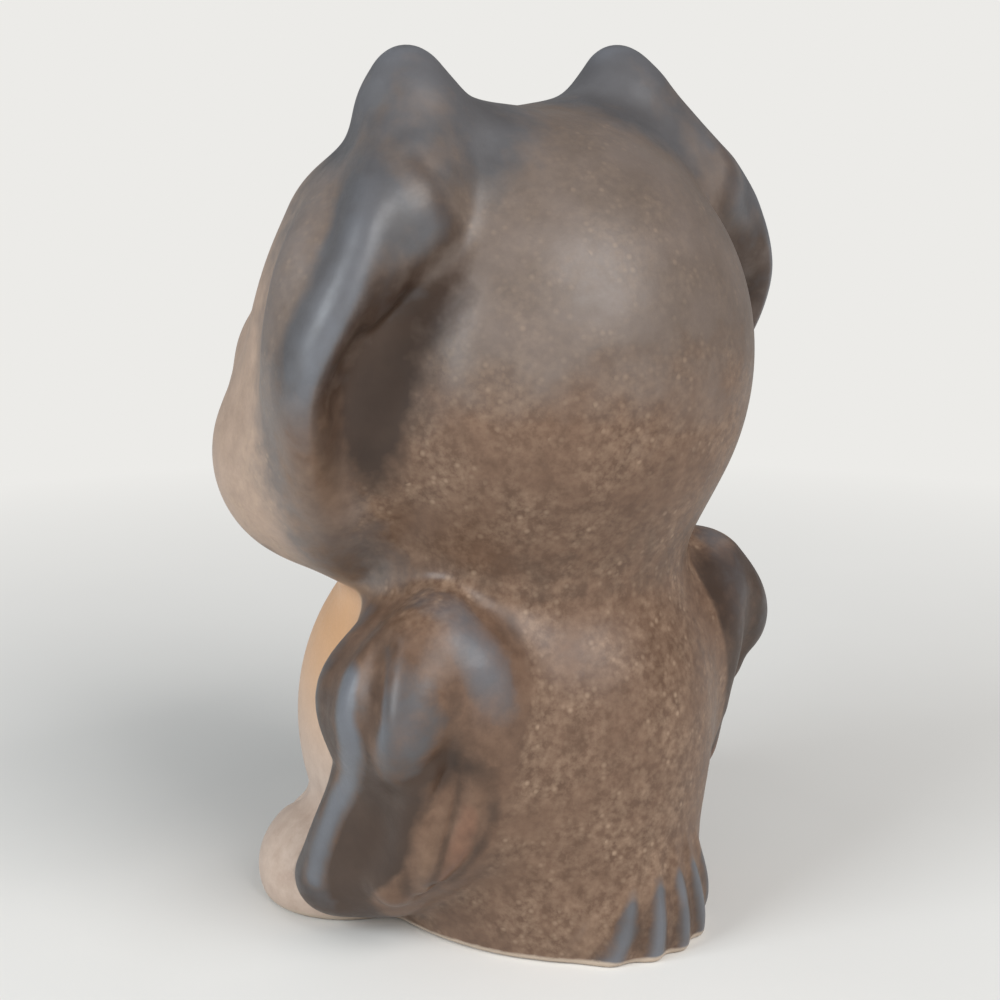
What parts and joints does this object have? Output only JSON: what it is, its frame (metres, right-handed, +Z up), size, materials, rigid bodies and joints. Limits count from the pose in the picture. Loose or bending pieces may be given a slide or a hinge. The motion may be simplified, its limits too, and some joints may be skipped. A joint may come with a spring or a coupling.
{
  "type": "ceramic owl figurine",
  "caption": "Free-standing glazed stoneware owl: round hollow head with ear tufts, face ruffs and face discs, on a hollow barrel body with folded wings, feet and a ribbed tail.",
  "frame": {"origin": "on the ground under the middle of the figure's outline", "axes": "+Z up from the base to the ear tufts, the owl faces -Y and its own left side is +X"},
  "size_m": [0.0886, 0.0712, 0.1204],
  "materials": {
    "speckled_brown_glaze": "satin, speckled",
    "grey_brown_glaze": "satin, mottled",
    "slate_glaze": "satin",
    "dark_glaze": "satin",
    "pale_clay": "matt",
    "cream_clay": "matt",
    "black_glaze": "gloss",
    "ochre_glaze": "satin"
  },
  "bodies": {
    "root": {"body_shell": "speckled_brown_glaze", "head_shell": "grey_brown_glaze", "face_disc_left": "pale_clay", "face_disc_right": "pale_clay", "face_ruff_left": "slate_glaze", "face_ruff_right": "slate_glaze", "ear_tuft_left": "slate_glaze", "ear_tuft_right": "slate_glaze", "eye_left": "black_glaze", "eye_right": "black_glaze", "beak": "ochre_glaze", "wing_left": "dark_glaze", "wing_right": "dark_glaze", "foot_left": "cream_clay", "foot_right": "cream_clay", "tail_fan": "slate_glaze"}
  },
  "joints": []
}
